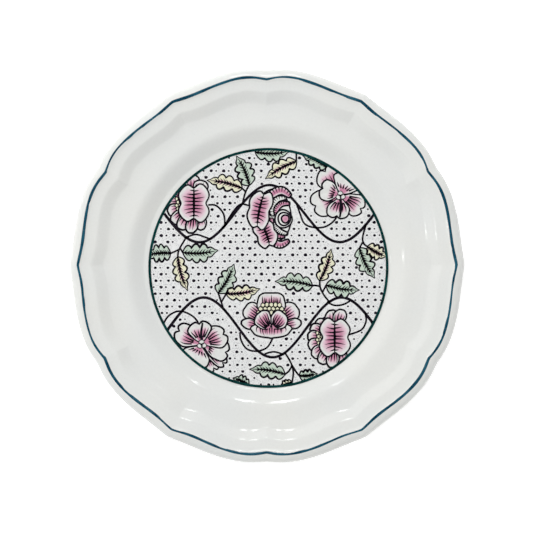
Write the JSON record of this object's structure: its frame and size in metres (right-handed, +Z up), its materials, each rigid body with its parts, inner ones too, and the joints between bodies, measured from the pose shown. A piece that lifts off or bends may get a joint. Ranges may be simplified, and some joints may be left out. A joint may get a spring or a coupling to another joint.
{
  "type": "dinner plate",
  "caption": "Round china dinner plate with a gently scalloped, moulded rim, a painted rim line and a printed flower ground in the well.",
  "frame": {"origin": "centre of the plane that the foot ring rests on", "axes": "+Z up, out of the face; +X through a point of the rim; +Y to the top of the print"},
  "size_m": [0.2704, 0.2694, 0.0221],
  "materials": {
    "ceramic_body": "matte",
    "face_glaze": "gloss",
    "back_glaze": "gloss",
    "rim_line": "gloss",
    "well_line": "gloss",
    "print_ground": "gloss",
    "ground_dots": "gloss",
    "green_leaves": "gloss",
    "cream_leaves": "gloss",
    "rose_blossoms": "gloss",
    "black_stems": "gloss"
  },
  "bodies": {
    "root": {"ceramic_body": "ceramic_body", "face_glaze": "face_glaze", "back_glaze": "back_glaze", "rim_line": "rim_line", "well_line": "well_line", "print_ground": "print_ground", "ground_dots": "ground_dots", "green_leaves": "green_leaves", "cream_leaves": "cream_leaves", "rose_blossoms": "rose_blossoms", "black_stems": "black_stems"}
  },
  "joints": []
}
